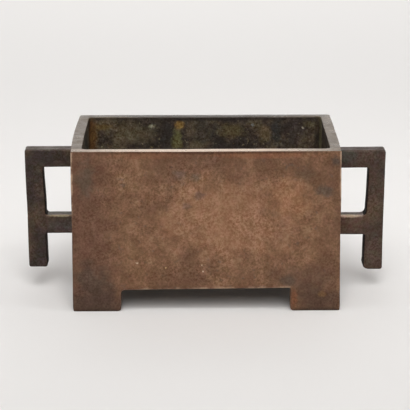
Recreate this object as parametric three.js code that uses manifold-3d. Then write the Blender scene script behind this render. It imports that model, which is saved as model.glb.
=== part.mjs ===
// An oblong bronze ding used as an incense burner, cast in one piece: a thick-walled open
// trough with a flat floor, four L-shaped bracket feet that carry its walls down to the
// ground, and an openwork strap handle of square bar at the middle of each short end.
//
// Millimetres. X runs from handle to handle, Y from front to back and Z up. The origin is
// on the ground, under the middle of the vessel.
import * as THREE from "three";
import { mergeVertices } from "three/addons/utils/BufferGeometryUtils.js";
import Module from "manifold-3d";

// ---- Driving dimensions ----

const BODY = {
  length: 140, // outside, at the corners of the short ends
  depth: 91, // outside, at the corners of the long sides
  height: 86.3, // ground to rim
  bows: { front: 0.1, right: 0.3, back: 0.2, left: 0.9 }, // swelling of each side in plan
  cornerRadius: 1.1,
  arris: 0.7, // softened edge of the rim and of the feet
};

const CAVITY = {
  endWall: 5.5,
  sideWall: 5.8,
  cornerRadius: 3,
  floorRadius: 2.5,
  floorThickness: 6,
  rimChamfer: 0.5,
};

const FOOT = {
  height: 12.2,
  frontWidth: 25.6, // along X, seen from the front
  endWidth: 22, // along Y, seen from the end
  thickness: 6.6,
  toeRadius: 1.1, // bottom corner beside the gap
  crownRadius: 0.7, // top corner of the gap
  recessRadius: 1.5,
};

const HANDLE = {
  reach: 97.2, // from the middle of the vessel to the handle's outer face, at the top
  lean: 1.1, // how far the outer face comes in at the bottom
  thickness: 9.6, // along Y
  uprightWidth: 9.6, // at the top
  uprightSpread: 0.5, // how much wider the upright is at the bottom
  upperBar: 9.6,
  crossbarDrop: 36.5, // top of the handle to top of the crossbar
  crossbar: 10.1,
  arris: 0.9,
  cornerRadius: 1.1,
  shoulderRadius: 0.8, // where a bar meets the upright from below
  rootDepth: 3, // how far the bars run into the wall
};

// The two handles are set by hand and differ a little.
const HANDLES = [
  { side: -1, top: 78.0, length: 65.5, toeRadius: 1.3, sillRadius: 1.6 },
  { side: 1, top: 77.0, length: 66.6, toeRadius: 2.2, sillRadius: 2.6 },
];

const CURVE_STEPS = 4;
const BEVEL_STEPS = 2;
const PAST = 5; // how far a cutter runs past what it cuts

// ---- Outlines ----

// A closed outline through corners [x, y, radius], going anticlockwise, each rounded by its
// own radius. A fourth number swells the edge that leaves the corner by that much.
function roundedOutline(corners) {
  const count = corners.length;
  const shape = new THREE.Shape();
  const arcs = corners.map((corner, i) =>
    cornerArc(corners[(i + count - 1) % count], corner, corners[(i + 1) % count]),
  );
  arcs.forEach(({ start, centre, radius, from, to, clockwise }, i) => {
    if (i === 0) shape.moveTo(start.x, start.y);
    else edgeTo(shape, start, corners[i - 1][3]);
    if (radius) shape.absarc(centre.x, centre.y, radius, from, to, clockwise);
  });
  edgeTo(shape, arcs[0].start, corners[count - 1][3]);
  return shape;
}

// The arc that rounds one corner of an outline, from the corners on either side of it.
function cornerArc([x0, y0], [x1, y1, radius], [x2, y2]) {
  const corner = new THREE.Vector2(x1, y1);
  const back = new THREE.Vector2(x0, y0).sub(corner).normalize();
  const on = new THREE.Vector2(x2, y2).sub(corner).normalize();
  const half = Math.acos(THREE.MathUtils.clamp(back.dot(on), -1, 1)) / 2;
  const start = corner.clone().addScaledVector(back, radius / Math.tan(half));
  const end = corner.clone().addScaledVector(on, radius / Math.tan(half));
  const middle = back.clone().add(on).normalize();
  const centre = corner.clone().addScaledVector(middle, radius / Math.sin(half));
  return {
    start,
    centre,
    radius,
    from: start.clone().sub(centre).angle(),
    to: end.clone().sub(centre).angle(),
    clockwise: back.cross(on) > 0,
  };
}

// Draws an edge to a point, swelling to the right of its direction by bow at its middle.
function edgeTo(shape, point, bow = 0) {
  if (bow === 0) {
    shape.lineTo(point.x, point.y);
    return;
  }
  const from = shape.currentPoint;
  const along = point.clone().sub(from).normalize();
  const middle = point.clone().add(from).multiplyScalar(0.5);
  middle.addScaledVector(new THREE.Vector2(along.y, -along.x), 2 * bow);
  shape.quadraticCurveTo(middle.x, middle.y, point.x, point.y);
}

// The vessel's plan, brought in from its outer faces by two walls' thicknesses.
function planOutline(endWall, sideWall, radius) {
  const { length, depth, bows } = BODY;
  const x = length / 2 - endWall;
  const y = depth / 2 - sideWall;
  return roundedOutline([
    [-x, -y, radius, bows.front],
    [x, -y, radius, bows.right],
    [x, y, radius, bows.back],
    [-x, y, radius, bows.left],
  ]);
}

// The gap between two feet, seen square on: closed above, with rounded toes at the ground.
function gapOutline(width) {
  const { height, toeRadius, crownRadius } = FOOT;
  const x = width / 2;
  return roundedOutline([
    [-x - PAST, -PAST, 0],
    [x + PAST, -PAST, 0],
    [x + PAST, 0, 0],
    [x, 0, toeRadius],
    [x, height, crownRadius],
    [-x, height, crownRadius],
    [-x, 0, toeRadius],
    [-x - PAST, 0, 0],
  ]);
}

// A handle of the right-hand end, seen from the front: an upper bar, a leaning upright that
// hangs past a crossbar, and the crossbar itself.
function handleOutline({ top, length, toeRadius, sillRadius }) {
  const root = BODY.length / 2 - HANDLE.rootDepth;
  const bottom = top - length;
  const share = (z) => (top - z) / length;
  const outer = (z) => HANDLE.reach - HANDLE.lean * share(z);
  const inner = (z) => outer(z) - HANDLE.uprightWidth - HANDLE.uprightSpread * share(z);
  const lintel = top - HANDLE.upperBar;
  const sill = top - HANDLE.crossbarDrop;
  const soffit = sill - HANDLE.crossbar;
  return roundedOutline([
    [root, soffit, 0],
    [inner(soffit), soffit, HANDLE.shoulderRadius],
    [inner(bottom), bottom, toeRadius],
    [outer(bottom), bottom, HANDLE.cornerRadius],
    [outer(top), top, HANDLE.cornerRadius],
    [root, top, 0],
    [root, lintel, 0],
    [inner(lintel), lintel, HANDLE.shoulderRadius],
    [inner(sill), sill, sillRadius],
    [root, sill, 0],
  ]);
}

// ---- Solids ----

const wasm = await Module();
wasm.setup();

// A closed three.js geometry as a solid that can be joined and cut.
function solid(geometry) {
  const bare = geometry.clone();
  bare.deleteAttribute("normal");
  bare.deleteAttribute("uv");
  const merged = mergeVertices(bare, 1e-4);
  return new wasm.Manifold(
    new wasm.Mesh({
      numProp: 3,
      vertProperties: new Float32Array(merged.attributes.position.array),
      triVerts: new Uint32Array(merged.index.array),
    }),
  );
}

// A solid as three.js geometry again.
function geometryOf(made) {
  const { vertProperties, triVerts } = made.getMesh();
  const geometry = new THREE.BufferGeometry();
  geometry.setAttribute("position", new THREE.BufferAttribute(vertProperties, 3));
  geometry.setIndex(new THREE.BufferAttribute(triVerts, 1));
  geometry.computeVertexNormals();
  return geometry;
}

// An outline drawn in plan, standing from z = low to z = high, with its two ends rounded off
// inside the outline.
function standing(shape, low, high, rounding, steps = BEVEL_STEPS) {
  return new THREE.ExtrudeGeometry(shape, {
    depth: high - low - 2 * rounding,
    curveSegments: CURVE_STEPS,
    bevelEnabled: rounding > 0,
    bevelThickness: rounding,
    bevelSize: rounding,
    bevelOffset: -rounding,
    bevelSegments: steps,
  }).translate(0, 0, low + rounding);
}

// An outline drawn in X and Z, as seen from the front, running along Y by the thickness.
function seenFromFront(shape, thickness, rounding = 0) {
  return standing(shape, -thickness / 2, thickness / 2, rounding).rotateX(Math.PI / 2);
}

// The same, as seen from the short end.
function seenFromEnd(shape, thickness) {
  return seenFromFront(shape, thickness).rotateZ(Math.PI / 2);
}

// The outside of the vessel, feet included, as one block.
function outerBlock() {
  return solid(standing(planOutline(0, 0, BODY.cornerRadius), 0, BODY.height, BODY.arris));
}

// The hollow that holds the ash, open above.
function cavity() {
  const { cornerRadius, floorRadius, floorThickness, endWall, sideWall } = CAVITY;
  const plan = planOutline(endWall, sideWall, cornerRadius);
  const floor = FOOT.height + floorThickness;
  const hollow = standing(plan, floor, BODY.height + PAST + floorRadius, floorRadius, 3);
  return solid(hollow).add(rimChamfer(plan));
}

// The wedge that takes the inner edge off the rim.
function rimChamfer(plan) {
  const { rimChamfer: size } = CAVITY;
  return solid(
    new THREE.ExtrudeGeometry(plan, {
      depth: PAST,
      curveSegments: CURVE_STEPS,
      bevelThickness: size,
      bevelSize: size,
      bevelSegments: 1,
    }).translate(0, 0, BODY.height),
  );
}

// What is cut away below the vessel: a recess under the floor, and a gap in each of its four
// sides, which leave an L-shaped foot at every corner.
function spaceBetweenFeet() {
  const { thickness, recessRadius, height, frontWidth, endWidth } = FOOT;
  const recess = planOutline(thickness, thickness, recessRadius);
  const frontGap = gapOutline(BODY.length - 2 * frontWidth);
  const endGap = gapOutline(BODY.depth - 2 * endWidth);
  return solid(standing(recess, -PAST, height, 0))
    .add(solid(seenFromFront(frontGap, BODY.depth + 2 * PAST)))
    .add(solid(seenFromEnd(endGap, BODY.length + 2 * PAST)));
}

// One handle, on the side where its bars run into the wall.
function handle(spec) {
  const geometry = seenFromFront(handleOutline(spec), HANDLE.thickness, HANDLE.arris);
  if (spec.side < 0) geometry.rotateZ(Math.PI);
  return solid(geometry);
}

// ---- The object ----

function censer() {
  const vessel = HANDLES.reduce((made, spec) => made.add(handle(spec)), outerBlock())
    .subtract(cavity())
    .subtract(spaceBetweenFeet());
  const bronze = new THREE.MeshStandardMaterial({
    color: 0x6e503d,
    roughness: 0.45,
    metalness: 0.6,
  });
  const mesh = new THREE.Mesh(geometryOf(vessel), bronze);
  mesh.name = "censer";
  return mesh;
}

const object = new THREE.Group();
object.add(censer());

export default object;
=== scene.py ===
"""A cast bronze incense burner in the form of an oblong ding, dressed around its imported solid.

The whole vessel is one casting: a thick-walled trough on four bracket feet, with a strap
handle on each short end. Sizes are in millimetres until the mesh is finished.
"""

from __future__ import annotations

import logging
import math
from collections.abc import Callable, Iterable, Sequence
from dataclasses import dataclass, field
from enum import IntEnum

import bmesh
import bpy
from bmesh.types import BMEdge, BMesh, BMFace, BMVert
from mathutils import Euler, Matrix, Vector, noise

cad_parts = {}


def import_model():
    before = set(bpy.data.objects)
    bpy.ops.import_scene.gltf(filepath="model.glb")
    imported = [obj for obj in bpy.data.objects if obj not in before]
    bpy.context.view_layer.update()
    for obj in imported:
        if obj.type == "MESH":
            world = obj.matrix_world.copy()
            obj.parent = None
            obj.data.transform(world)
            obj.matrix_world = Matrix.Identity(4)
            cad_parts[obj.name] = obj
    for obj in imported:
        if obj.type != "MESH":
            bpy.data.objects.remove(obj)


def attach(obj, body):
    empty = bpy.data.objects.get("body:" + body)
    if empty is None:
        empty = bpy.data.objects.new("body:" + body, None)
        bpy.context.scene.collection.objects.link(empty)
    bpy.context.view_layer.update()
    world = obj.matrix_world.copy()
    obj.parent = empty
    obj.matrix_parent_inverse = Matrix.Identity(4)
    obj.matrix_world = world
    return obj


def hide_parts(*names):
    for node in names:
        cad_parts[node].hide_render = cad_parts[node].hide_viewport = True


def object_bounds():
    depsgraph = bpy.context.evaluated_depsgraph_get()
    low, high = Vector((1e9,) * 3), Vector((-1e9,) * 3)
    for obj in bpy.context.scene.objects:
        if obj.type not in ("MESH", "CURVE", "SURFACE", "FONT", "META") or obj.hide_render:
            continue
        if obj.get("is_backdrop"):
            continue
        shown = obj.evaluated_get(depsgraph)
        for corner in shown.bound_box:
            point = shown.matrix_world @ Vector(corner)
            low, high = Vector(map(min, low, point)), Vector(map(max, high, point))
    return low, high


LOG = logging.getLogger("censer")
NODE = "censer"
MM = 0.001
NEAR = 0.02  # two heights or places closer than this are the same, in millimetres
X_AXIS = Vector((1, 0, 0))
Y_AXIS = Vector((0, 1, 0))
Z_AXIS = Vector((0, 0, 1))
AXES = (X_AXIS, Y_AXIS, Z_AXIS)
ALIGNED = 0.999  # unit vectors whose product is larger than this point the same way
ASLANT = 0.1  # a direction with more than this of both X and Y runs aslant in plan
FLAT = math.radians(1)  # faces that meet at less than this are one flat face
SHARP = math.radians(40)  # faces that meet at more than this leave an edge to round
CREASE = math.radians(50)  # faces that meet at more than this are shaded apart
ORDER_STEPS = 100  # steps to the millimetre, by which the parts of the mesh are put in order
ORDER_SPAN = 100_000  # more steps than the mesh measures from side to side
ORDER_SHIFT = 200.0013  # makes every place positive, and keeps round ones off the edge of a step
BEYOND_ENDS = 54.56  # how far the handles stand out past the two true end walls, together
BEYOND_SIDES = 0.4  # how far the uneven surface stands out past the two true long walls


class Zone(IntEnum):
    """The parts of the casting that have a finish of their own, in material-slot order."""

    WALL = 0
    RIM = 1
    INSIDE = 2
    HANDLE = 3
    # The inner faces of the handles, darkened as dirt and painted shade.
    GRIP = 4
    UNDERSIDE = 5


# ---- Shaping helpers ----


def smooth_step(low: float, high: float, value: float) -> float:
    """Rises smoothly from 0 at low to 1 at high."""
    share = min(1.0, max(0.0, (value - low) / (high - low)))
    return share * share * (3.0 - 2.0 * share)


def along(stops: Sequence[tuple[float, float]], place: float) -> float:
    """Reads a value off a list of stops, in straight runs between them.

    Args:
        stops: Pairs of a place and the value there, in rising order of place.
        place: Where to read it.

    Returns:
        The value at that place, held level past either end.
    """
    if place <= stops[0][0]:
        return stops[0][1]
    for (low, start), (high, end) in zip(stops, stops[1:]):
        if place <= high:
            return start + (end - start) * (place - low) / (high - low)
    return stops[-1][1]


def cut(bm: BMesh, normal: Vector, places: Iterable[float]) -> None:
    """Cuts the whole mesh by planes square to an axis, and keeps both sides.

    Args:
        bm: The mesh.
        normal: The axis, as a unit vector.
        places: Where each plane crosses the axis.
    """
    for place in places:
        geometry = [*bm.verts, *bm.edges, *bm.faces]
        bmesh.ops.bisect_plane(bm, geom=geometry, dist=NEAR, plane_co=normal * place, plane_no=normal)


def rank(part: BMVert | BMFace) -> int:
    """Works out the place of a vertex or a face in the order of the mesh.

    Args:
        part: The vertex or the face, less than 200 mm from the middle of the mesh.

    Returns:
        Its middle's three coordinates in hundredths of a millimetre, as the digits of one number.
    """
    corners = [part.co] if isinstance(part, BMVert) else [vert.co for vert in part.verts]
    number = 0
    for axis in range(3):
        middle = sum(corner[axis] for corner in corners) / len(corners)
        number = number * ORDER_SPAN + round((middle + ORDER_SHIFT) * ORDER_STEPS)
    return number


def put_in_order(bm: BMesh) -> None:
    """Lays the mesh anew with its parts sorted by place, so that each run goes on from the same one.

    Args:
        bm: The mesh, which loses any layers that it has.
    """
    old = sorted(bm.verts, key=rank)
    numbers = {vert: number for number, vert in enumerate(old)}
    outlines = [[numbers[vert] for vert in face.verts] for face in sorted(bm.faces, key=rank)]
    places = [Vector(vert.co) for vert in old]
    bm.clear()
    verts = [bm.verts.new(place) for place in places]
    for outline in outlines:
        first = outline.index(min(outline))
        bm.faces.new([verts[number] for number in outline[first:] + outline[:first]])


def borders(faces: Sequence[BMFace]) -> tuple[list[BMEdge], list[BMVert]]:
    """Lists the edges and the corners of some faces, each once and in an order that never varies.

    Args:
        faces: The faces.

    Returns:
        Their edges and their corners.
    """
    edges = dict.fromkeys(edge for face in faces for edge in face.edges)
    verts = dict.fromkeys(vert for face in faces for vert in face.verts)
    return list(edges), list(verts)


def pull(bm: BMesh, faces: Sequence[BMFace], offset: Vector) -> list[BMFace]:
    """Extrudes touching faces as one and moves them.

    Args:
        bm: The mesh.
        faces: The faces to extrude.
        offset: How far they move.

    Returns:
        The moved faces.
    """
    edges, verts = borders(faces)
    made = bmesh.ops.extrude_face_region(bm, geom=[*faces, *edges, *verts])["geom"]
    bmesh.ops.translate(bm, verts=[item for item in made if isinstance(item, BMVert)], vec=offset)
    return [item for item in made if isinstance(item, BMFace)]


def facing(bm: BMesh, direction: Vector, inside: Callable[[Vector], bool]) -> list[BMFace]:
    """Lists the faces that look one way and whose middles pass a test.

    Args:
        bm: The mesh.
        direction: The way that the faces look, as a unit vector.
        inside: The test, given the middle of a face.

    Returns:
        The faces.
    """
    bm.normal_update()
    return [
        face
        for face in bm.faces
        if face.normal.dot(direction) > ALIGNED and inside(face.calc_center_median())
    ]


def sharp(bm: BMesh, inside: Callable[[Vector], bool]) -> list[BMEdge]:
    """Lists the edges where two faces meet at an angle and whose middles pass a test.

    Args:
        bm: The mesh.
        inside: The test, given the middle of an edge.

    Returns:
        The edges.
    """
    bm.normal_update()
    return [
        edge
        for edge in bm.edges
        if edge.calc_face_angle(0.0) > SHARP
        and inside((edge.verts[0].co + edge.verts[1].co) / 2)
    ]


def running(bm: BMesh, axis: Vector, inside: Callable[[Vector], bool]) -> list[BMEdge]:
    """Lists the sharp edges that run along an axis and whose middles pass a test.

    Args:
        bm: The mesh.
        axis: The axis, as a unit vector.
        inside: The test, given the middle of an edge.

    Returns:
        The edges.
    """
    return [edge for edge in sharp(bm, inside) if abs(direction_of(edge).dot(axis)) > ALIGNED]


def direction_of(edge: BMEdge) -> Vector:
    """The unit vector along an edge."""
    return (edge.verts[1].co - edge.verts[0].co).normalized()


def ease(bm: BMesh, edges: Sequence[BMEdge], radius: float, wear: float, segments: int = 3) -> None:
    """Rounds edges, and notes on the new faces how worn they are, or how far dirt and painted shade
    darken them.

    Args:
        bm: The mesh.
        edges: The edges.
        radius: The radius of the rounding.
        wear: From 0 to 1 for an edge that hands polish, and down to -1 for one that is darkened by dirt
            and painted shade.
        segments: How many faces go round it.
    """
    made = bmesh.ops.bevel(
        bm,
        geom=list(edges),
        offset=radius,
        offset_type="OFFSET",
        affect="EDGES",
        segments=segments,
        profile=0.5,
        material=-1,
        clamp_overlap=False,
    )
    wear_and_shade = bm.faces.layers.float["wear"]
    for face in made["faces"]:
        face[wear_and_shade] = wear


# ---- The casting ----


@dataclass(frozen=True)
class Trough:
    """The walls and the floor, as a block that is hollowed from above."""

    length: float
    depth: float
    height: float
    underside: float = 12.2
    floor: float = 6.0
    front_wall: float = 6.2
    back_wall: float = 5.4
    left_wall: float = 5.4
    right_wall: float = 5.4
    corner_radii: tuple[float, float, float, float] = (0.6, 0.5, 1.9, 1.1)
    corner_wear: tuple[float, float, float, float] = (1.0, 1.0, 0.5, 0.4)
    inner_radius: float = 3.0
    floor_radius: float = 2.5
    rim_arris: float = 0.5
    mouth_arris: float = 0.5

    @property
    def half_length(self) -> float:
        """From the middle to the outside of an end wall."""
        return self.length / 2

    @property
    def half_depth(self) -> float:
        """From the middle to the outside of a long wall."""
        return self.depth / 2

    def block(self, bm: BMesh) -> None:
        """Starts the mesh as the outer block, from the underside to the rim."""
        rise = self.height - self.underside
        bmesh.ops.create_cube(bm, size=1.0)
        bmesh.ops.scale(bm, vec=(self.length, self.depth, rise), verts=bm.verts)
        bmesh.ops.translate(bm, vec=(0, 0, self.underside + rise / 2), verts=bm.verts)

    def hollow(self, bm: BMesh) -> None:
        """Sinks the cavity into the top of the block, and gives each wall its thickness."""
        top = facing(bm, Z_AXIS, lambda middle: middle.z > self.height - NEAR)
        bmesh.ops.inset_region(bm, faces=top, thickness=self.front_wall, use_even_offset=True)
        for vert in borders(top)[1]:
            end_wall = self.right_wall if vert.co.x > 0 else self.left_wall
            long_wall = self.back_wall if vert.co.y > 0 else self.front_wall
            vert.co.x = math.copysign(self.half_length - end_wall, vert.co.x)
            vert.co.y = math.copysign(self.half_depth - long_wall, vert.co.y)
        pull(bm, top, Z_AXIS * (self.underside + self.floor - self.height))

    def in_cavity(self, place: Vector) -> bool:
        """Whether a place is on the inner faces of the walls or on the floor."""
        return (
            abs(place.x) < self.half_length - 1.0
            and abs(place.y) < self.half_depth - 1.0
            and place.z > self.underside + 1.0
        )

    def ease_corners(self, bm: BMesh) -> None:
        """Rounds the upright edges: the four outer corners, then the inner ones."""
        quarters = ((-1, -1), (1, -1), (1, 1), (-1, 1))
        for radius, wear, (across, back) in zip(self.corner_radii, self.corner_wear, quarters):
            corner = Vector((across * self.half_length, back * self.half_depth))
            edges = running(bm, Z_AXIS, lambda middle: (middle.xy - corner).length < NEAR)
            ease(bm, edges, radius, wear)
        # The inner upright corners of the cavity are darkened as dirt and painted shade.
        ease(bm, running(bm, Z_AXIS, self.in_cavity), self.inner_radius, wear=-0.5, segments=4)

    def ease_arrises(self, bm: BMesh) -> None:
        """Softens the two edges of the rim, and rounds the cavity into its floor."""
        at_rim = self.height - NEAR
        outer = sharp(bm, lambda p: p.z > at_rim and not self.in_cavity(p))
        ease(bm, outer, self.rim_arris, wear=0.35)
        ease(bm, sharp(bm, lambda p: p.z > at_rim and self.in_cavity(p)), self.mouth_arris, wear=0.3)
        floor = self.underside + self.floor + NEAR
        foot_of_walls = sharp(bm, lambda p: p.z < floor and self.in_cavity(p))
        # The foot of the inner walls is darkened as dirt and painted shade.
        ease(bm, foot_of_walls, self.floor_radius, wear=-1.0, segments=4)


@dataclass(frozen=True)
class BracketFeet:
    """The four L-shaped feet, each a stub of both walls that meet at its corner."""

    trough: Trough
    front_width: float = 25.4
    end_width: float = 22.0
    thickness: float = 6.6
    toe_radius: float = 1.9
    heel_radius: float = 1.4
    crown_radii: tuple[float, float] = (2.0, 0.45)
    arris: float = 0.5
    # How far the arrises at the soles are darkened, as painted shade where the feet meet the table.
    sole_shade: float = -0.4

    @property
    def gap_x(self) -> float:
        """From the middle to a foot, along the front."""
        return self.trough.half_length - self.front_width

    @property
    def gap_y(self) -> float:
        """From the middle to a foot, along an end."""
        return self.trough.half_depth - self.end_width

    @property
    def inner_x(self) -> float:
        """From the middle to the inside of a foot's end leg."""
        return self.trough.half_length - self.thickness

    @property
    def inner_y(self) -> float:
        """From the middle to the inside of a foot's front leg."""
        return self.trough.half_depth - self.thickness

    def mark_out(self, bm: BMesh) -> None:
        """Cuts the block where the feet begin and end."""
        cut(bm, X_AXIS, (side * x for side in (-1, 1) for x in (self.gap_x, self.inner_x)))
        cut(bm, Y_AXIS, (side * y for side in (-1, 1) for y in (self.gap_y, self.inner_y)))

    def covers(self, place: Vector) -> bool:
        """Whether a foot stands at a place in plan."""
        x, y = abs(place.x), abs(place.y)
        return (x > self.gap_x and y > self.inner_y) or (x > self.inner_x and y > self.gap_y)

    def stand(self, bm: BMesh) -> None:
        """Draws the feet down from the underside to the ground."""
        pull(bm, facing(bm, -Z_AXIS, self.covers), Z_AXIS * -self.trough.underside)

    def ease_profile(self, bm: BMesh) -> None:
        """Rounds the toes beside each gap, and the crowns of the gaps."""
        front_toes = running(bm, Y_AXIS, lambda p: p.z < NEAR and abs(abs(p.x) - self.gap_x) < NEAR)
        end_toes = running(bm, X_AXIS, lambda p: p.z < NEAR and abs(abs(p.y) - self.gap_y) < NEAR)
        ease(bm, front_toes + end_toes, self.toe_radius, wear=0.4)
        for side, radius in zip((-1, 1), self.crown_radii):
            top = sharp(bm, lambda p: abs(p.z - self.trough.underside) < NEAR and p.x * side > 0)
            # The crowns of the gaps are darkened as dirt and painted shade.
            ease(bm, [edge for edge in top if not edge.is_convex], radius, wear=-0.5)

    def wear_heels(self, place: Vector) -> Vector:
        """Moves a point of a foot's outer bottom edge onto its rounding.

        Args:
            place: The point, which may be anywhere on the straight form.

        Returns:
            The point on the rounding, or in its old place if it isn't in that edge.
        """
        x, z = abs(place.x) - self.trough.half_length + self.heel_radius, self.heel_radius - place.z
        reach = math.hypot(x, z)
        if min(x, z) <= 0 or reach <= self.heel_radius or x > self.heel_radius + NEAR:
            return place
        share = self.heel_radius / reach
        across = self.trough.half_length - self.heel_radius + x * share
        return Vector((math.copysign(across, place.x), place.y, self.heel_radius - z * share))

    def ease_arrises(self, bm: BMesh) -> None:
        """Softens the outline of the gaps and the soles, outside and inside, and paints shade on the
        arrises at the soles.
        """
        below = self.trough.underside + NEAR
        reach = self.trough.half_length + NEAR
        edges = sharp(bm, lambda p: p.z < below and abs(p.x) < reach)
        ease(bm, [edge for edge in edges if edge.is_convex], self.arris, wear=0.8, segments=2)
        wear_and_shade = bm.faces.layers.float["wear"]
        # The arrises along the soles are given painted shade instead of wear.
        for face in bm.faces:
            if face[wear_and_shade] > 0 and face.calc_center_median().z < self.toe_radius / 2:
                face[wear_and_shade] = self.sole_shade


@dataclass(frozen=True)
class StrapHandle:
    """One strap handle: an upper bar, and an upright that hangs down past a crossbar.

    The strap is grown straight, at heights that both handles share, and then settles to the
    heights and the lean of its own.
    """

    side: int
    wall: float
    own_heights: tuple[float, float, float, float, float]
    outer_lean: tuple[tuple[float, float], ...]
    inner_lean: tuple[tuple[float, float], ...]
    toe_radius: float
    sill_radius: float
    shoulder_radius: float
    heights: tuple[float, float, float, float, float] = (11.5, 30.9, 41.1, 67.9, 77.6)
    stand_off: float = 17.0
    upright: float = 9.9
    thickness: float = 9.6
    heel_radius: float = 1.2
    inner_radius: float = 0.8
    arris: float = 0.8
    root_radius: float = 0.6
    still_heights: tuple[float, float] = (20.0, 84.0)

    @property
    def outwards(self) -> Vector:
        """The way that the handle stands out from the wall."""
        return X_AXIS * self.side

    @property
    def bar_middles(self) -> tuple[float, float]:
        """The heights of the middles of the crossbar and of the upper bar."""
        _, soffit, sill, lintel, top = self.heights
        return ((soffit + sill) / 2, (lintel + top) / 2)

    @property
    def inner(self) -> float:
        """From the middle of the vessel to the inner face of the upright."""
        return self.wall + self.stand_off

    @property
    def outer(self) -> float:
        """From the middle of the vessel to the outer face of the upright."""
        return self.inner + self.upright

    def mark_out(self, bm: BMesh) -> None:
        """Cuts the end wall where the two bars grow from it."""
        cut(bm, Y_AXIS, (-self.thickness / 2, self.thickness / 2))
        cut(bm, Z_AXIS, self.heights[1:])

    def root(self, bm: BMesh, low: float, high: float) -> list[BMFace]:
        """The patch of wall that a bar between two heights grows from."""
        return facing(
            bm,
            self.outwards,
            lambda p: abs(abs(p.x) - self.wall) < NEAR
            and abs(p.y) < self.thickness / 2
            and low < p.z < high,
        )

    def grow(self, bm: BMesh) -> None:
        """Draws the bars out of the wall and the upright down from the upper bar."""
        bottom, soffit, sill, lintel, top = self.heights
        reach = self.outwards * self.stand_off
        upper = pull(bm, self.root(bm, lintel, top), reach)
        pull(bm, upper, self.outwards * self.upright)
        pull(bm, self.root(bm, soffit, sill), reach)
        for high, low in ((lintel, sill), (sill, soffit), (soffit, bottom)):
            under = facing(bm, -Z_AXIS, lambda p: self.in_upright(p) and abs(p.z - high) < NEAR)
            pull(bm, under, Z_AXIS * (low - high))
        middles = ((face, face.calc_center_median()) for face in bm.faces)
        hidden = [
            face
            for face, middle in middles
            if abs(middle.x * self.side - self.inner) < NEAR and soffit < middle.z < sill
        ]
        bmesh.ops.delete(bm, geom=hidden, context="FACES")
        bmesh.ops.remove_doubles(bm, verts=bm.verts, dist=NEAR)

    def in_upright(self, place: Vector) -> bool:
        """Whether a place is between the inner and outer faces of the upright."""
        return self.inner < place.x * self.side < self.outer

    def beyond_wall(self, place: Vector) -> bool:
        """Whether a place is on this handle, clear of the wall."""
        return place.x * self.side > self.wall + NEAR

    def ease_profile(self, bm: BMesh) -> None:
        """Rounds each corner of the outline that is seen from the front."""
        bottom, soffit, sill, lintel, top = self.heights
        corners = (
            (self.outer, top, self.shoulder_radius),
            (self.outer, bottom, self.heel_radius),
            (self.inner, bottom, self.toe_radius),
            (self.inner, lintel, self.inner_radius),
            (self.inner, sill, self.sill_radius),
            (self.inner, soffit, self.inner_radius),
        )
        for x, z, radius in corners:
            corner = Vector((x * self.side, z))
            edges = running(bm, Y_AXIS, lambda p: (p.xz - corner).length < NEAR)
            hollow = z in (soffit, sill, lintel)
            # Hollow corners are darkened as dirt and painted shade; the others are worn.
            ease(bm, edges, radius, wear=-0.6 if hollow else 0.4)

    def ease_arrises(self, bm: BMesh) -> None:
        """Softens the long edges of the strap, then fillets it into the wall."""
        face = self.thickness / 2 - NEAR
        long_edges = sharp(bm, lambda p: self.beyond_wall(p) and abs(p.y) > face)
        ease(bm, long_edges, self.arris, wear=0.6)
        at_wall = sharp(bm, lambda p: abs(p.x * self.side - self.wall) < NEAR and self.heights[0] < p.z)
        roots = [edge for edge in at_wall if not edge.is_convex]
        # The roots are darkened as dirt and painted shade.
        ease(bm, roots, self.root_radius, wear=-1.0)

    def settle(self, place: Vector) -> Vector:
        """Moves a point of the straight strap to where the leaning one has it.

        Args:
            place: The point, on this handle or on the wall that it grows from.

        Returns:
            The point in its own place.
        """
        out = place.x * self.side - self.wall
        lifts = [(height, own - height) for height, own in zip(self.heights, self.own_heights)]
        if out < 1.0:
            below, above = self.still_heights
            lifts = [(below, 0.0), *lifts[1:], (above, 0.0)]
        lift = smooth_step(-2.0, 0.0, out) * along(lifts, place.z)
        moved = Vector((place.x, place.y, place.z + lift))
        reach = min(1.0, max(0.0, out / self.stand_off))
        across = min(1.0, max(0.0, (out - self.stand_off) / self.upright))
        inner = along(self.inner_lean, moved.z)
        outer = along(self.outer_lean, moved.z)
        moved.x += self.side * reach * (inner + (outer - inner) * across)
        return moved


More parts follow.
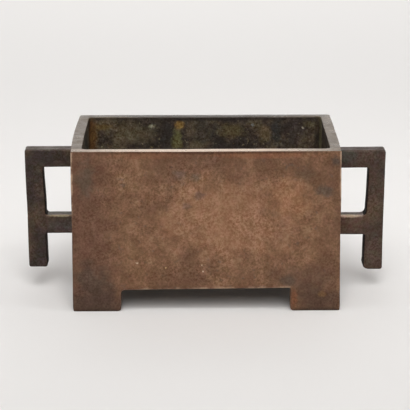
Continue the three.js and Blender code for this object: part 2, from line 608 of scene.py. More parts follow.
@dataclass(frozen=True)
class Unevenness:
    """How far the hand-finished walls depart from true.

    Attributes:
        end_bows: How far the left and right ends swell outwards in their middles.
        long_bows: The same for the front and the back.
        flare: Heights, and how far the end walls stand outwards there.
        underside_rise: How much the underside climbs for each millimetre to the right.
        gap_drift: How far the front gap stands to the right.
        gap_edge: From the middle to the true side of the front gap.
        gap_reach: How far from there the drift dies away.
        swells: Pairs of how deep and how wide the waves of the surfaces are.
        seed: Which of the many sets of waves they take, from 1 up.
    """

    end_bows: tuple[float, float] = (0.9, 0.3)
    long_bows: tuple[float, float] = (0.1, 0.15)
    flare: tuple[tuple[float, float], ...] = ((0.0, 0.4), (28.0, 0.1), (60.0, -0.2), (86.0, -0.05))
    underside_rise: float = 0.0095
    gap_drift: float = -0.4
    gap_edge: float = 44.5
    gap_reach: float = 18.0
    swells: tuple[tuple[float, float], ...] = ((0.16, 27.0), (0.06, 9.0), (0.025, 3.6))
    seed: int = 4

    def bend(self, trough: Trough, place: Vector) -> Vector:
        """Moves a point of the true form to where the bowed one has it.

        Args:
            trough: The true walls.
            place: The point.

        Returns:
            The point in its own place.
        """
        x, y, z = place
        bow_x = self.end_bows[x > 0] * (1 - (y / trough.half_depth) ** 2) + along(self.flare, z)
        in_wall = smooth_step(trough.half_length - 10.0, trough.half_length, abs(x))
        past_wall = smooth_step(trough.half_length + 0.5, trough.half_length + 16.0, abs(x))
        bow_y = self.long_bows[y > 0] * (1 - min(1.0, abs(x) / trough.half_length) ** 2)
        at_long_wall = smooth_step(trough.half_depth - 5.0, trough.half_depth, abs(y))
        near_soles = smooth_step(1.5, trough.underside - 1.5, z)
        low = near_soles * (1 - smooth_step(trough.underside + 1.5, 30.0, z))
        beside_gap = 1 - smooth_step(0.0, self.gap_reach, abs(abs(x) - self.gap_edge))
        at_foot = beside_gap * (1 - smooth_step(trough.underside, 26.0, z))
        moved = Vector(place)
        moved.x += math.copysign(in_wall * (1 - past_wall) * bow_x, x) + self.gap_drift * at_foot
        moved.y += math.copysign(at_long_wall * bow_y, y)
        if abs(x) < trough.half_length + 1:
            moved.z += self.underside_rise * x * low
        return moved

    def ripple(self, place: Vector) -> Vector:
        """Works out the small waves of the surface, which leave the soles flat.

        Args:
            place: The point.

        Returns:
            How far the waves move it.
        """
        total = Vector((0, 0, 0))
        for depth, width in self.swells:
            total += noise.noise_vector(place / width + Z_AXIS * width) * depth
        total.z *= smooth_step(0.0, 4.0, place.z)
        return total


@dataclass
class Casting:
    """The whole censer, as one closed mesh.

    Attributes:
        trough: The walls and the floor.
        feet: The four feet.
        handles: The left handle and the right one.
        unevenness: How far the surfaces depart from true.
        grid: How wide the small faces are.
        margin: How far a line of cuts stands beside each line of corners.
        widest: How many times the grid a face may measure before it is divided again.
        bm: The mesh, in millimetres.
    """

    trough: Trough
    feet: BracketFeet
    handles: tuple[StrapHandle, StrapHandle]
    unevenness: Unevenness = Unevenness()
    grid: float = 2.2
    margin: float = 0.7
    widest: float = 1.5
    bm: BMesh = field(default_factory=bmesh.new)

    def form(self) -> None:
        """Builds the straight form with its rounded edges."""
        bm = self.bm
        self.trough.block(bm)
        self.feet.mark_out(bm)
        self.feet.stand(bm)
        self.clean(list(bm.edges))
        self.trough.hollow(bm)
        self.handles[0].mark_out(bm)
        for handle in self.handles:
            handle.grow(bm)
        put_in_order(bm)
        bmesh.ops.recalc_face_normals(bm, faces=bm.faces)
        cut(bm, Z_AXIS, self.handles[0].bar_middles)
        loose = [edge for edge in bm.edges if not (self.halves_a_root(edge) or self.mitres_rim(edge))]
        self.clean(loose)
        put_in_order(bm)
        bm.faces.layers.float.new("wear")
        self.trough.ease_corners(bm)
        self.feet.ease_profile(bm)
        for handle in self.handles:
            handle.ease_profile(bm)
        self.trough.ease_arrises(bm)
        self.feet.ease_arrises(bm)
        for handle in self.handles:
            handle.ease_arrises(bm)

    def clean(self, edges: list[BMEdge]) -> None:
        """Dissolves those of some edges that lie in a flat face.

        Args:
            edges: The edges.
        """
        bm = self.bm
        bm.normal_update()
        bmesh.ops.dissolve_limit(bm, angle_limit=FLAT, verts=bm.verts, edges=edges)

    def halves_a_root(self, edge: BMEdge) -> bool:
        """Whether an edge lies level with the middle of a handle's bar."""
        middles = self.handles[0].bar_middles
        return any(all(abs(vert.co.z - z) < NEAR for vert in edge.verts) for z in middles)

    def mitres_rim(self, edge: BMEdge) -> bool:
        """Whether an edge crosses the rim aslant, from a corner of the mouth to one of the block."""
        across, back, _ = direction_of(edge)
        return min(abs(across), abs(back)) > ASLANT

    def refine(self) -> None:
        """Cuts the large faces into small ones, with a close line beside each rounded edge."""
        for axis in AXES:
            cut(self.bm, axis, self.stations(axis))
        for axis in AXES:
            self.divide_wide(axis)

    def stations(self, axis: Vector) -> list[float]:
        """Works out where to cut the mesh across an axis, clear of the corners it has.

        Args:
            axis: The axis, as a unit vector.

        Returns:
            The places of the cuts.
        """
        taken = sorted({round(vert.co.dot(axis), 1) for vert in self.bm.verts})
        return [place for low, high in zip(taken, taken[1:]) for place in self.between(low, high)]

    def between(self, low: float, high: float) -> list[float]:
        """Works out where to cut between two lines.

        Args:
            low: The place of the first line.
            high: The place of the second one.

        Returns:
            The places of the cuts, close beside both lines and evenly from one to the other.
        """
        free = high - low - 2 * self.margin
        if free <= self.margin:
            return []
        count = math.ceil(free / self.grid)
        return [low + self.margin + free * step / count for step in range(count + 1)]

    def divide_wide(self, axis: Vector) -> None:
        """Divides the faces that the cuts across an axis have left wide.

        Args:
            axis: The axis, as a unit vector.
        """
        wide: dict[tuple[float, float], list[BMFace]] = {}
        for face in self.bm.faces:
            reach = [round(vert.co.dot(axis), 2) for vert in face.verts]
            if max(reach) - min(reach) > self.widest * self.grid:
                wide.setdefault((min(reach), max(reach)), []).append(face)
        for (low, high), faces in wide.items():
            edges, verts = borders(faces)
            part = [*verts, *edges, *faces]
            for place in self.between(low, high):
                part = bmesh.ops.bisect_plane(
                    self.bm, geom=part, dist=1e-4, plane_co=axis * place, plane_no=axis
                )["geom"]

    def zone_of(self, face: BMFace) -> Zone:
        """Tells which finish a face wears.

        Args:
            face: The face, in the straight form.

        Returns:
            Its finish.
        """
        middle = face.calc_center_median()
        if abs(middle.x) > self.trough.half_length + NEAR:
            # Faces of a handle that look back at the wall get the dark grip finish: dirt and painted
            # shade.
            looks_in = face.normal.x * math.copysign(1.0, middle.x) < -0.6
            return Zone.GRIP if looks_in else Zone.HANDLE
        inside = self.trough.in_cavity(middle)
        rounding = self.trough.mouth_arris if inside else 0.15 * self.trough.rim_arris
        if middle.z > self.trough.height - rounding:
            return Zone.RIM
        if inside:
            return Zone.INSIDE
        sheltered = (
            abs(middle.x) < self.feet.inner_x + 1.0
            and abs(middle.y) < self.feet.inner_y + 1.0
            and middle.z < self.trough.underside + 1.0
        )
        return Zone.UNDERSIDE if sheltered or face.normal.z < -0.7 else Zone.WALL

    def mark_surface(self) -> None:
        """Gives each face its finish, and each corner how worn it is and how far dirt and painted shade
        darken it.
        """
        bm = self.bm
        bm.normal_update()
        wear_and_shade = bm.faces.layers.float["wear"]
        worn = bm.verts.layers.float.new("worn")
        nook_dirt_and_shade = bm.verts.layers.float.new("nook_dirt_and_shade")
        for face in bm.faces:
            face.material_index = self.zone_of(face)
            face.smooth = True
            upright = abs(face.normal.z) < 0.3
            for vert in face.verts:
                rubbed = smooth_step(0.0, self.trough.height, vert.co.z) if upright else 1.0
                vert[worn] = max(vert[worn], face[wear_and_shade] * rubbed)
                # Negative wear becomes dirt and painted shade in the nooks.
                vert[nook_dirt_and_shade] = max(vert[nook_dirt_and_shade], -face[wear_and_shade])
        for edge in bm.edges:
            edge.smooth = edge.calc_face_angle(0.0) < CREASE

    def settle(self, low: Vector, high: Vector) -> None:
        """Bends the straight form into the uneven one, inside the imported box.

        Args:
            low: The lowest corner of the box, in millimetres.
            high: Its highest corner.
        """
        noise.seed_set(self.unevenness.seed)
        for vert in self.bm.verts:
            place = self.feet.wear_heels(vert.co)
            handle = self.handles[place.x > 0]
            place = self.unevenness.bend(self.trough, handle.settle(place))
            place += self.unevenness.ripple(place)
            vert.co = [min(max(value, least), most) for value, least, most in zip(place, low, high)]

    def mesh(self) -> bpy.types.Mesh:
        """Finishes the mesh, in metres."""
        bm = self.bm
        bmesh.ops.scale(bm, vec=(MM, MM, MM), verts=bm.verts)
        made = bpy.data.meshes.new("censer_casting")
        bm.to_mesh(made)
        bm.free()
        return made


# ---- Finishes ----


Tone = tuple[int, int, int]
Socket = bpy.types.NodeSocket


def linear(tone: Tone) -> tuple[float, float, float, float]:
    """Turns a colour into the one that a shader takes.

    Args:
        tone: Its red, green and blue on a screen, from 0 to 255.

    Returns:
        The same as linear light from 0 to 1, with an opaque alpha.
    """
    shares = (value / 255 for value in tone)
    red, green, blue = (s / 12.92 if s <= 0.04045 else ((s + 0.055) / 1.055) ** 2.4 for s in shares)
    return (red, green, blue, 1.0)


@dataclass(frozen=True)
class Stain:
    """A patch of another colour in the patina, as a soft ragged blob in space.

    Attributes:
        tone: Its colour.
        centre: Its middle, in millimetres.
        reach: How far it spreads along each axis, in millimetres.
        strength: How much of the patina it hides, from 0 to 1.
        rag: How far its outline wanders, as a share of its reach.
    """

    tone: Tone
    centre: tuple[float, float, float]
    reach: tuple[float, float, float]
    strength: float = 0.6
    rag: float = 0.35


class Bench:
    """Sets out and joins the shader nodes of one material."""

    def __init__(self, name: str) -> None:
        """Starts an empty material.

        Args:
            name: What to call it.
        """
        self.material = bpy.data.materials.new(name)
        self.material.use_nodes = True
        self.tree = self.material.node_tree
        self.tree.nodes.clear()
        mapping = self.node("ShaderNodeMapping")
        mapping.inputs["Scale"].default_value = (1 / MM, 1 / MM, 1 / MM)
        self.join(self.node("ShaderNodeTexCoord").outputs["Object"], mapping.inputs["Vector"])
        self.place = mapping.outputs["Vector"]

    def node(self, kind: str, **settings: object) -> bpy.types.Node:
        """Adds a node.

        Args:
            kind: Its type.
            settings: Its properties.

        Returns:
            The node.
        """
        made = self.tree.nodes.new(kind)
        for name, value in settings.items():
            setattr(made, name, value)
        return made

    def join(self, source: object, target: Socket) -> None:
        """Feeds an input.

        Args:
            source: What it takes: the output of another node, or a plain value.
            target: The input.
        """
        if isinstance(source, Socket):
            self.tree.links.new(source, target)
        else:
            target.default_value = source

    def maths(self, operation: str, first: object, second: object = 0.0) -> Socket:
        """Works out one step of arithmetic on two values.

        Args:
            operation: Which step.
            first: The first value.
            second: The second one.

        Returns:
            The result.
        """
        made = self.node("ShaderNodeMath", operation=operation)
        self.join(first, made.inputs[0])
        self.join(second, made.inputs[1])
        return made.outputs[0]

    def vector(self, operation: str, first: object, second: object) -> Socket:
        """Works out one step of arithmetic on two vectors.

        Args:
            operation: Which step.
            first: The first vector.
            second: The second one.

        Returns:
            The result.
        """
        made = self.node("ShaderNodeVectorMath", operation=operation)
        self.join(first, made.inputs[0])
        self.join(second, made.inputs[1])
        return made.outputs[0]

    def noise(
        self, size: float, detail: float = 2.0, roughness: float = 0.5, lift: float = 0.0
    ) -> bpy.types.Node:
        """Adds a cloudy noise.

        Args:
            size: How wide its clouds are, in millimetres.
            detail: How many finer layers it has.
            roughness: How strong the finer layers are.
            lift: How far it is shifted, so that two of one size differ.

        Returns:
            The node, with its value in outputs 0 and three separate ones in outputs 1.
        """
        made = self.node("ShaderNodeTexNoise")
        place = self.vector("ADD", self.place, (lift, lift, lift)) if lift else self.place
        self.join(place, made.inputs["Vector"])
        made.inputs["Scale"].default_value = 1 / size
        made.inputs["Detail"].default_value = detail
        made.inputs["Roughness"].default_value = roughness
        return made

    def span(
        self, value: object, low: float, high: float, start: float = 0.0, end: float = 1.0
    ) -> Socket:
        """Eases a value from one range to another, and holds it past both ends.

        Args:
            value: The value.
            low: Where the easing starts.
            high: Where it ends.
            start: The result at low.
            end: The result at high.

        Returns:
            The result.
        """
        made = self.node("ShaderNodeMapRange", interpolation_type="SMOOTHSTEP")
        for name, number in (("Value", value), ("From Min", low), ("From Max", high)):
            self.join(number, made.inputs[name])
        made.inputs["To Min"].default_value = start
        made.inputs["To Max"].default_value = end
        return made.outputs[0]

    def blend(self, share: object, under: object, over: object, way: str = "MIX") -> Socket:
        """Lays one colour over another.

        Args:
            share: How much of the upper colour shows.
            under: The lower colour.
            over: The upper colour.
            way: How they mix.

        Returns:
            The mixed colour.
        """
        made = self.node("ShaderNodeMix", data_type="RGBA", blend_type=way)
        self.join(share, made.inputs[0])
        self.join(under, made.inputs[6])
        self.join(over, made.inputs[7])
        return made.outputs[2]

    def attribute(self, name: str) -> Socket:
        """Reads a number that the mesh carries."""
        return self.node("ShaderNodeAttribute", attribute_name=name).outputs["Fac"]


@dataclass(frozen=True)
class Patina:
    """A finish of the old bronze: three tones that cloud together, grain, stains and worn edges.

    Attributes:
        name: What the material is called.
        deep: The darkest of the three tones.
        body: The middle one.
        light: The lightest.
        bare: The colour of an edge that is worn.
        stains: The patches that belong to certain places.
        cloud: How wide the clouds of tone are, in millimetres.
        blotch: How wide the blotches in them are.
        grain: How wide the grains of the skin are.
        contrast: How much the grains lighten and darken the colour.
        depth: How much the blotches do.
        mottle: How wide the mottles of redder and greener skin are, in millimetres.
        flush: How strong those mottles are.
        spot_tone: The colour of the small spots that are strewn over it.
        spot_size: How wide the spots are, in millimetres.
        spots: How strong they are, from 0 to 1.
        gloss: The lowest and the highest roughness.
        wear: How bare a worn edge is.
        metal: How metallic the whole surface is.
        relief: How deep the grain is, in millimetres.
        sheen: How strongly the skin reflects.
        polish: Where the metal is rubbed bare, if anywhere.
    """

    name: str
    deep: Tone
    body: Tone
    light: Tone
    bare: Tone
    stains: tuple[Stain, ...] = ()
    spot_tone: Tone = (70, 64, 58)
    spot_size: float = 3.2
    cloud: float = 30.0
    blotch: float = 7.0
    grain: float = 1.1
    contrast: float = 0.3
    depth: float = 0.15
    mottle: float = 3.5
    flush: float = 0.5
    spots: float = 0.4
    gloss: tuple[float, float] = (0.38, 0.55)
    wear: float = 0.6
    metal: float = 0.0
    relief: float = 0.05
    sheen: float = 0.25
    polish: Stain | None = None

    def material(self) -> bpy.types.Material:
        """Makes the material."""
        bench = Bench(self.name)
        blotches = bench.noise(self.blotch, detail=6.0, roughness=0.62, lift=40.0).outputs[0]
        grains = bench.noise(self.grain, detail=3.0, roughness=0.7, lift=11.0).outputs[0]
        colour = self.weathered_and_shaded(bench, self.clouded(bench, blotches), grains)
        for stain in self.stains:
            colour = self.stained(bench, colour, stain)
        colour = self.grained(bench, colour, blotches, grains)
        worn = self.worn(bench, blotches)
        shader = bench.node("ShaderNodeBsdfPrincipled")
        bench.join(bench.blend(worn, colour, linear(self.bare)), shader.inputs["Base Color"])
        bench.join(bench.maths("MAXIMUM", worn, self.metal), shader.inputs["Metallic"])
        rough = bench.span(blotches, 0.35, 0.65, self.gloss[1], self.gloss[0])
        rough = bench.maths("MULTIPLY", rough, bench.span(grains, 0.3, 0.7, 1.1, 0.9))
        bench.join(rough, shader.inputs["Roughness"])
        shader.inputs["Specular IOR Level"].default_value = self.sheen
        bench.join(self.bumped(bench, blotches, grains), shader.inputs["Normal"])
        bench.join(shader.outputs[0], bench.node("ShaderNodeOutputMaterial").inputs["Surface"])
        return bench.material

    def clouded(self, bench: Bench, blotches: Socket) -> Socket:
        """Clouds the three tones together.

        Args:
            bench: The material.
            blotches: The noise of the blotches.

        Returns:
            The colour.
        """
        clouds = bench.noise(self.cloud, detail=3.0, roughness=0.55).outputs[0]
        colour = bench.blend(bench.span(clouds, 0.33, 0.6), linear(self.deep), linear(self.body))
        lift = bench.maths("ADD", *(bench.maths("MULTIPLY", part, 0.5) for part in (clouds, blotches)))
        return bench.blend(bench.span(lift, 0.46, 0.64), colour, linear(self.light))

    def weathered_and_shaded(
        self, bench: Bench, colour: Socket, grains: Socket
    ) -> Socket:
        """Darkens the nooks with dirt and painted shade, and strews the small spots.

        Args:
            bench: The material.
            colour: The colour so far.
            grains: The noise of the grains.

        Returns:
            The colour.
        """
        spots = bench.noise(self.spot_size, detail=2.0, roughness=0.6, lift=73.0).outputs[0]
        share = bench.maths("MULTIPLY", bench.span(spots, 0.62, 0.74), self.spots)
        colour = bench.blend(share, colour, linear(self.spot_tone))
        # Nooks are darkened toward the deep tone, as dirt and painted shade.
        nook_dirt_and_shade = bench.maths("MULTIPLY", bench.attribute("nook_dirt_and_shade"), bench.span(grains, 0.3, 0.6, 0.4, 0.85))
        return bench.blend(nook_dirt_and_shade, colour, linear(self.deep), way="MULTIPLY")

    def stained(self, bench: Bench, colour: Socket, stain: Stain) -> Socket:
        """Lays one stain over the colour."""
        return bench.blend(self.spread(bench, stain), colour, linear(stain.tone))

    def spread(self, bench: Bench, stain: Stain) -> Socket:
        """Works out how much a stain covers each point.

        Args:
            bench: The material.
            stain: The stain.

        Returns:
            Its strength in its middle, falling to 0 outside.
        """
        size = max(1.2, min(stain.reach) * 0.8)
        wander = bench.noise(size, detail=3.0, roughness=0.6, lift=stain.centre[0]).outputs[1]
        ragged = bench.vector("SUBTRACT", wander, (0.5, 0.5, 0.5))
        outwards = tuple(4.0 * stain.rag * length for length in stain.reach)
        shifted = bench.vector("MULTIPLY", ragged, outwards)
        offset = bench.vector("ADD", bench.vector("SUBTRACT", bench.place, stain.centre), shifted)
        shares = tuple(1 / length for length in stain.reach)
        scaled = bench.vector("MULTIPLY", offset, shares)
        distance = bench.node("ShaderNodeVectorMath", operation="LENGTH")
        bench.join(scaled, distance.inputs[0])
        return bench.span(distance.outputs["Value"], 0.35, 1.15, stain.strength, 0.0)

    def grained(
        self,
        bench: Bench,
        colour: Socket,
        blotches: Socket,
        grains: Socket,
    ) -> Socket:
        """Lightens and darkens the colour by the blotches and the grain, and mottles its hue.

        Args:
            bench: The material.
            colour: The colour so far.
            blotches: The noise of the blotches.
            grains: The noise of the grains.

        Returns:
            The colour.
        """
        rougher = bench.span(bench.noise(2 * self.blotch, lift=51.0).outputs[0], 0.35, 0.65, 0.55, 1.0)
        for pattern, strength, share in ((blotches, self.depth, 1.0), (grains, self.contrast, rougher)):
            dark, pale = ((*(1.0 + side * strength * lean for lean in LEAN), 1.0) for side in (-1, 1))
            tint = bench.blend(bench.span(pattern, 0.28, 0.72), dark, pale)
            colour = bench.blend(share, colour, tint, way="MULTIPLY")
        hues = bench.noise(self.mottle, detail=3.0, roughness=0.55, lift=25.0).outputs[0]
        tint = bench.blend(bench.span(hues, 0.36, 0.64), GREENER, REDDER)
        return bench.blend(self.flush, colour, tint, way="MULTIPLY")

    def worn(self, bench: Bench, blotches: Socket) -> Socket:
        """Works out how bare the metal is, which is patchy along each worn edge.

        Args:
            bench: The material.
            blotches: The noise of the blotches.

        Returns:
            From 0 for sound patina to 1 for bare metal.
        """
        patchy = bench.span(blotches, 0.35, 0.62, 0.5, 1.0)
        share = bench.maths("MULTIPLY", bench.attribute("worn"), patchy)
        bare = bench.maths("MULTIPLY", bench.span(share, 0.4, 1.0), self.wear)
        return bench.maths("MAXIMUM", bare, self.spread(bench, self.polish)) if self.polish else bare

    def bumped(
        self, bench: Bench, blotches: Socket, grains: Socket
    ) -> Socket:
        """Raises the grain and the blotches, and sinks pits into the skin.

        Args:
            bench: The material.
            blotches: The noise of the blotches.
            grains: The noise of the grains.

        Returns:
            The bumped normal.
        """
        pits = bench.node("ShaderNodeTexVoronoi")
        bench.join(bench.place, pits.inputs["Vector"])
        pits.inputs["Scale"].default_value = 0.35
        sunk = bench.span(pits.outputs["Distance"], 0.05, 0.2, -1.5, 0.0)
        skin = bench.maths("ADD", grains, sunk)
        height = bench.maths("ADD", skin, bench.maths("MULTIPLY", blotches, 1.5))
        bump = bench.node("ShaderNodeBump")
        bump.inputs["Distance"].default_value = self.relief * MM
        bench.join(height, bump.inputs["Height"])
        return bump.outputs[0]


LEAN = (0.8, 1.0, 1.4)  # how far light and dark grains shift red, green and blue
GREENER = (0.93, 1.03, 0.95, 1.0)  # what the mottles of greener skin multiply the colour by
REDDER = (1.07, 0.97, 1.05, 1.0)  # and the redder ones

FRONT = -45.5  # where the outside of the front wall is, along Y in millimetres
BACK_INSIDE = 40.0  # and the inside of the back wall

WALL_STAINS = (
    Stain((136, 99, 73), (12, FRONT, 50), (44, 12, 28), 0.75),
    Stain((138, 97, 68), (43, FRONT, 60), (12, 8, 13), 0.55),
    Stain((88, 59, 44), (-62, FRONT, 44), (20, 30, 55), 0.8),
    Stain((78, 64, 51), (-63, FRONT, 72), (6, 8, 12), 0.75),
    # These darken the front wall towards the bottom and the feet.
    Stain((70, 54, 43), (-60, FRONT, 16), (12, 8, 12), 0.8),
    Stain((64, 45, 34), (-57, FRONT, 2), (20, 12, 12), 0.95),
    Stain((69, 48, 35), (57, FRONT, 6), (18, 12, 14), 0.9),
    Stain((84, 60, 46), (50, FRONT, 18), (22, 12, 8), 0.6),
    Stain((66, 38, 18), (0, FRONT, 85.7), (76, 1.6, 1.2), 0.85, rag=0.05),
    Stain((74, 62, 52), (61.5, FRONT, 65), (6, 4, 4), 0.7),
    Stain((82, 64, 50), (52, FRONT, 74), (6, 4, 5), 0.5),
    Stain((66, 54, 46), (67, FRONT, 81), (3, 4, 3), 0.8),
    Stain((86, 72, 62), (-13.8, FRONT, 74), (4, 4, 3.4), 0.5),
    Stain((84, 72, 62), (-5.5, FRONT, 72.5), (3, 4, 2.8), 0.55),
    Stain((80, 62, 58), (-3.6, FRONT, 63), (3.4, 4, 2.8), 0.55),
    Stain((84, 68, 58), (-10.2, FRONT, 57), (3.4, 4, 2.6), 0.5),
    Stain((78, 65, 54), (43, FRONT, 16.5), (5, 4, 3.5), 0.7),
    Stain((106, 62, 38), (46.2, FRONT, 7), (2.2, 4, 6), 0.75),
    Stain((106, 76, 42), (60.8, FRONT, 9.2), (2.6, 4, 2.2), 0.6),
    Stain((112, 71, 48), (-30, FRONT, 84), (26, 4, 2.2), 0.5),
    Stain((120, 74, 48), (30, FRONT, 84), (34, 4, 1.8), 0.5),
    # Painted shade: dark lines along the bottom of the two front feet, where they meet the table.
    Stain((52, 38, 26), (-57, FRONT, 0.4), (17, 4, 1.4), 0.7, rag=0.1),
    Stain((54, 38, 26), (58, FRONT, 0.4), (17, 4, 1.6), 0.7, rag=0.1),
    Stain((186, 164, 140), (-36.2, FRONT, 26.6), (0.9, 3, 0.4), 0.7),
    Stain((178, 150, 110), (-21.2, FRONT, 23.8), (0.6, 3, 0.6), 0.8),
    Stain((180, 156, 130), (-2.4, FRONT, 25.4), (0.5, 3, 0.5), 0.7),
    Stain((184, 160, 134), (-1.7, FRONT, 21.8), (0.5, 3, 0.55), 0.7),
)

HANDLE_STAINS = (
    Stain((73, 57, 48), (86, 0, 45), (22, 12, 60), 0.8),
    Stain((48, 39, 36), (-84, -4.8, 73), (16, 8, 6), 0.7),
    Stain((87, 65, 53), (78, -4.8, 36), (9, 6, 6), 0.8),
    Stain((63, 60, 53), (76, -4.8, 74), (9, 6, 5), 0.8),
    Stain((52, 32, 18), (82, 0, 78.4), (18, 8, 2.0), 1.0),
    Stain((84, 66, 48), (88, -4.8, 44), (8, 6, 9), 0.5),
    Stain((84, 72, 62), (-84, 0, 79), (17, 8, 2.2), 0.8),
    # Pale strips along the front top edges of the crossbars: partly worn edge, partly painted highlight.
    Stain((178, 154, 130), (78, -3.2, 40.6), (9.5, 2.8, 1.2), 0.9, rag=0.15),
    Stain((152, 134, 108), (-78, -4.0, 41.6), (9.5, 2.0, 1.0), 0.85, rag=0.2),
    Stain((74, 64, 44), (-78, 1.5, 41.6), (10, 3.5, 1.5), 0.6),
    Stain((72, 62, 59), (-77, -4.8, 36), (11, 4, 4.5), 0.85),
)

# Darkens the back of the rim.
RIM_BACK_DARKENING = (Stain((46, 38, 30), (0, 43, 86), (80, 6, 4), 0.9, rag=0.2),)

INSIDE_STAINS = (
    Stain((92, 62, 28), (-63, BACK_INSIDE, 74), (3.2, 8, 14), 0.85),
    Stain((96, 76, 38), (-57, BACK_INSIDE, 80.5), (6, 6, 2.4), 0.8),
    Stain((90, 79, 57), (-42, BACK_INSIDE, 77), (17, 8, 7), 0.65),
    Stain((134, 128, 106), (-29.5, BACK_INSIDE, 81), (2.2, 4, 1.4), 0.8),
    Stain((44, 38, 33), (-21, BACK_INSIDE, 75), (4.5, 8, 12), 0.85),
    Stain((128, 98, 48), (-14, BACK_INSIDE, 81.5), (3.2, 4, 2.8), 0.85),
    Stain((98, 92, 56), (-15.5, BACK_INSIDE, 73), (3.6, 4, 7), 0.8),
    Stain((44, 40, 36), (0, BACK_INSIDE, 77), (8, 8, 12), 0.6),
    Stain((86, 74, 46), (15, BACK_INSIDE, 78), (9, 6, 5), 0.75),
    Stain((100, 98, 92), (26.4, BACK_INSIDE, 81.3), (1.2, 4, 1.2), 0.8),
    Stain((92, 76, 52), (33.5, BACK_INSIDE, 76.5), (4.6, 6, 6), 0.8),
    Stain((38, 40, 38), (40, BACK_INSIDE, 78), (4, 6, 10), 0.7),
    Stain((66, 54, 48), (50, BACK_INSIDE, 76), (8, 6, 8), 0.5),
    Stain((80, 70, 48), (58, BACK_INSIDE, 82), (4, 4, 2), 0.7),
    Stain((172, 166, 150), (54.7, BACK_INSIDE, 79.8), (0.8, 3, 0.8), 0.9),
    Stain((40, 32, 26), (0, BACK_INSIDE, 85.2), (76, 8, 1.6), 0.8, rag=0.1),
    Stain((104, 98, 66), (64.6, 37, 60), (0.9, 4, 40), 0.7, rag=0.1),
    Stain((124, 116, 92), (66, 32, 70), (3, 10, 30), 0.8, rag=0.1),
    Stain((50, 60, 50), (-66, 10, 68), (3, 22, 20), 0.6),
)

FINISHES = {
    Zone.WALL: Patina(
        "brown_patina",
        deep=(92, 64, 46),
        body=(102, 72, 51),
        light=(115, 84, 60),
        bare=(206, 178, 152),
        stains=WALL_STAINS,
        contrast=0.46,
        depth=0.16,
        mottle=5.0,
        flush=0.35,
    ),
    Zone.RIM: Patina(
        "rim_patina",
        deep=(84, 69, 50),
        body=(91, 75, 55),
        light=(97, 82, 61),
        bare=(222, 198, 176),
        stains=RIM_BACK_DARKENING,
        contrast=0.2,
        depth=0.06,
        flush=0.3,
        relief=0.03,
        gloss=(0.25, 0.4),
        sheen=0.4,
        polish=Stain((222, 198, 176), (-5, -42, 86), (75, 8, 6), 1.0, rag=0.1),
    ),
    Zone.INSIDE: Patina(
        "inside_crust",
        deep=(44, 36, 30),
        body=(60, 49, 40),
        light=(86, 73, 54),
        bare=(150, 140, 120),
        stains=INSIDE_STAINS,
        spot_tone=(124, 112, 86),
        spot_size=1.5,
        spots=0.7,
        cloud=12.0,
        blotch=4.0,
        contrast=0.68,
        depth=0.26,
        gloss=(0.5, 0.75),
        relief=0.15,
        wear=0.3,
    ),
    Zone.HANDLE: Patina(
        "handle_patina",
        deep=(49, 40, 36),
        body=(61, 49, 41),
        light=(72, 57, 44),
        bare=(150, 126, 108),
        stains=HANDLE_STAINS,
        cloud=11.0,
        contrast=0.55,
        depth=0.14,
        sheen=0.16,
        flush=1.8,
        wear=0.15,
    ),
    # The inner faces of the handles: dark, rough and dull, as dirt and painted shade.
    Zone.GRIP: Patina(
        "grip_dirt_and_shade",
        deep=(30, 25, 22),
        body=(36, 30, 27),
        light=(44, 37, 32),
        bare=(90, 76, 66),
        cloud=14.0,
        contrast=0.3,
        gloss=(0.65, 0.8),
        sheen=0.1,
        wear=0.1,
    ),
    Zone.UNDERSIDE: Patina(
        "underside_patina",
        deep=(84, 66, 52),
        body=(104, 84, 66),
        light=(120, 98, 76),
        bare=(150, 118, 92),
        cloud=18.0,
        gloss=(0.5, 0.7),
        wear=0.4,
    ),
}


# ---- The studio ----


@dataclass(frozen=True)
class Lamp:
    """An oblong softbox.

    Attributes:
        name: What it is called.
        place: Where it hangs, in millimetres.
        size: How wide and how tall it is.
        power: How strong it is, in watts.
        aim: What it points at.
        spread: How wide its light fans out, in degrees.
    """

    name: str
    place: tuple[float, float, float]
    size: tuple[float, float]
    power: float
    aim: tuple[float, float, float] = (0.0, 0.0, 0.0)
    spread: float = 180.0

    def hang(self) -> None:
        """Adds the lamp to the scene."""
        lamp = bpy.data.objects.new(self.name, bpy.data.lights.new(self.name, "AREA"))
        lamp.data.shape = "RECTANGLE"
        lamp.data.energy = self.power
        lamp.data.size, lamp.data.size_y = (length * MM for length in self.size)
        lamp.data.spread = math.radians(self.spread)
        lamp.location = Vector(self.place) * MM
        away = Vector(self.place) - Vector(self.aim)
        lamp.rotation_euler = away.to_track_quat("Z", "Y").to_euler()
        bpy.context.scene.collection.objects.link(lamp)


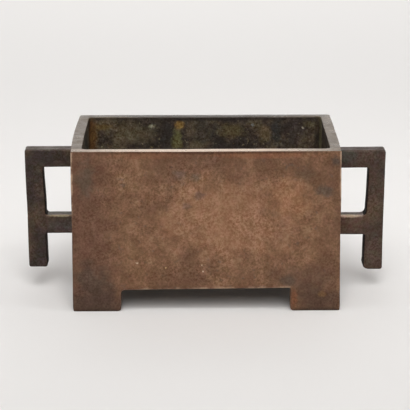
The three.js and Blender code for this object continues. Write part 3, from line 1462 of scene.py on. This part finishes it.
@dataclass(frozen=True)
class Studio:
    """The pale table, the soft light and the camera.

    Attributes:
        floor_tone: The colour of the table.
        floor_size: How wide it is, in millimetres.
        room_tone: The colour of the room's light.
        room_behind: How bright the room is behind the vessel.
        room_before: How bright it is elsewhere.
        lamps: The softboxes.
        camera_place: Where the camera stands, in millimetres.
        camera_turn: How far it looks down and right and how far it rolls, in degrees.
        lens: Its focal length.
        sensor: How wide its sensor is.
    """

    floor_tone: Tone = (225, 223, 221)
    floor_size: float = 9000.0
    room_tone: tuple[float, float, float, float] = (1.0, 0.985, 0.975, 1.0)
    room_behind: float = 0.95
    room_before: float = 0.4
    lamps: tuple[Lamp, ...] = (
        Lamp("key_softbox", (100.0, -4000.0, 4600.0), (3000.0, 5600.0), 305.0),
        Lamp("left_softbox", (-2100.0, -700.0, 1690.0), (500.0, 500.0), 0.15, (-300.0, 60.0, 0.0), 14.0),
        Lamp("right_softbox", (2100.0, -700.0, 1690.0), (500.0, 500.0), 0.2, (300.0, 60.0, 0.0), 14.0),
        Lamp("table_softbox", (0.0, 1900.0, 1500.0), (1300.0, 1300.0), 3.1, (0.0, 1300.0, 0.0), 80.0),
    )
    camera_place: tuple[float, float, float] = (-7.503, -1013.4, 312.034)
    camera_turn: tuple[float, float, float] = (14.717, 0.406, 0.126)
    lens: float = 169.32
    sensor: float = 36.0

    def floor(self) -> None:
        """Lays the table that the vessel stands on."""
        bpy.ops.mesh.primitive_plane_add(size=self.floor_size * MM)
        table = bpy.context.object
        table.name = "table"
        bench = Bench("pale_table")
        shader = bench.node("ShaderNodeBsdfPrincipled")
        shader.inputs["Base Color"].default_value = linear(self.floor_tone)
        shader.inputs["Roughness"].default_value = 0.9
        bench.join(shader.outputs[0], bench.node("ShaderNodeOutputMaterial").inputs["Surface"])
        table.data.materials.append(bench.material)
        table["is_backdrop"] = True

    def room(self) -> None:
        """Lights the room dimly, but for a pale wall low behind the vessel."""
        world = bpy.data.worlds.new("room")
        world.use_nodes = True
        nodes, links = world.node_tree.nodes, world.node_tree.links
        ways = nodes.new("ShaderNodeSeparateXYZ")
        links.new(nodes.new("ShaderNodeTexCoord").outputs["Generated"], ways.inputs[0])
        behind = self.eased(nodes, links, ways.outputs["Y"], (0.3, 0.8), (0.0, 1.0))
        low = self.eased(nodes, links, ways.outputs["Z"], (0.36, 0.6), (1.0, 0.0))
        both = nodes.new("ShaderNodeMath")
        both.operation = "MULTIPLY"
        links.new(behind, both.inputs[0])
        links.new(low, both.inputs[1])
        range_of_light = (self.room_before, self.room_behind)
        strength = self.eased(nodes, links, both.outputs[0], (0.0, 1.0), range_of_light)
        background = nodes["Background"]
        background.inputs["Color"].default_value = self.room_tone
        links.new(strength, background.inputs["Strength"])
        bpy.context.scene.world = world

    @staticmethod
    def eased(
        nodes: bpy.types.Nodes,
        links: bpy.types.NodeLinks,
        value: Socket,
        given: tuple[float, float],
        wanted: tuple[float, float],
    ) -> Socket:
        """Eases a value of the room's shader from one range to another.

        Args:
            nodes: The nodes of the shader.
            links: Its links.
            value: The value.
            given: The range that it comes in.
            wanted: The range that it leaves in.

        Returns:
            The eased value.
        """
        made = nodes.new("ShaderNodeMapRange")
        made.interpolation_type = "SMOOTHSTEP"
        for name, number in zip(("From Min", "From Max", "To Min", "To Max"), (*given, *wanted)):
            made.inputs[name].default_value = number
        links.new(value, made.inputs["Value"])
        return made.outputs[0]

    def camera(self) -> None:
        """Sets the camera up at eye height over the table, looking a little down."""
        data = bpy.data.cameras.new("camera")
        data.lens = self.lens
        data.sensor_width = self.sensor
        camera = bpy.data.objects.new("camera", data)
        camera.location = Vector(self.camera_place) * MM
        down, right, roll = (math.radians(angle) for angle in self.camera_turn)
        aim = Euler((math.pi / 2 - down, 0.0, -right)).to_matrix()
        camera.rotation_euler = (aim @ Matrix.Rotation(-roll, 3, "Z")).to_euler()
        bpy.context.scene.collection.objects.link(camera)
        bpy.context.scene.camera = camera

    def dress(self) -> None:
        """Sets up the whole studio, with colours shown as they are."""
        self.floor()
        self.room()
        for lamp in self.lamps:
            lamp.hang()
        self.camera()
        bpy.context.scene.view_settings.view_transform = "Standard"


def build_casting(cad_low: Vector, cad_high: Vector) -> Casting:
    """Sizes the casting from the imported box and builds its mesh.

    Args:
        cad_low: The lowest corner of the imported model, in metres.
        cad_high: Its highest corner.

    Returns:
        The casting, in millimetres.
    """
    low, high = cad_low / MM, cad_high / MM
    trough = Trough(
        length=high.x - low.x - BEYOND_ENDS, depth=high.y - low.y - BEYOND_SIDES, height=high.z
    )
    left = StrapHandle(
        side=-1,
        wall=trough.half_length,
        own_heights=(12.5, 31.6, 41.6, 68.5, 78.1),
        outer_lean=((16.0, -0.6), (33.0, -0.4), (47.0, -0.3), (56.0, 0.05), (67.0, 0.25), (75.0, 0.35)),
        inner_lean=((16.0, -0.8), (28.0, -0.5), (47.0, -0.4), (64.0, 0.5)),
        toe_radius=1.3,
        sill_radius=1.7,
        shoulder_radius=1.0,
    )
    right = StrapHandle(
        side=1,
        wall=trough.half_length,
        own_heights=(10.4, 30.25, 40.5, 67.4, 77.1),
        outer_lean=((15.0, -0.65), (32.0, -0.5), (46.0, -0.3), (55.0, -0.2), (66.0, 0.0), (76.0, 0.25)),
        inner_lean=((12.6, -1.5), (15.0, -1.1), (27.0, -0.85), (46.0, 0.1), (52.0, 0.4), (64.0, 0.9)),
        toe_radius=2.8,
        sill_radius=2.4,
        shoulder_radius=1.5,
    )
    casting = Casting(trough, BracketFeet(trough), (left, right))
    casting.form()
    casting.refine()
    casting.mark_surface()
    casting.settle(low, high)
    return casting


def main() -> None:
    """Builds the censer and its stage."""
    logging.basicConfig(level=logging.INFO, format="%(name)s: %(message)s")
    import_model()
    cad_low, cad_high = (Vector(corner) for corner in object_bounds())
    Studio().dress()
    mesh = build_casting(cad_low, cad_high).mesh()
    for zone in Zone:
        mesh.materials.append(FINISHES[zone].material())
    piece = bpy.data.objects.new("censer_casting", mesh)
    bpy.context.scene.collection.objects.link(piece)
    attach(piece, "root")
    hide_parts(NODE)
    LOG.info("%s: %d faces", piece.name, len(mesh.polygons))


if __name__ == "__main__":
    main()
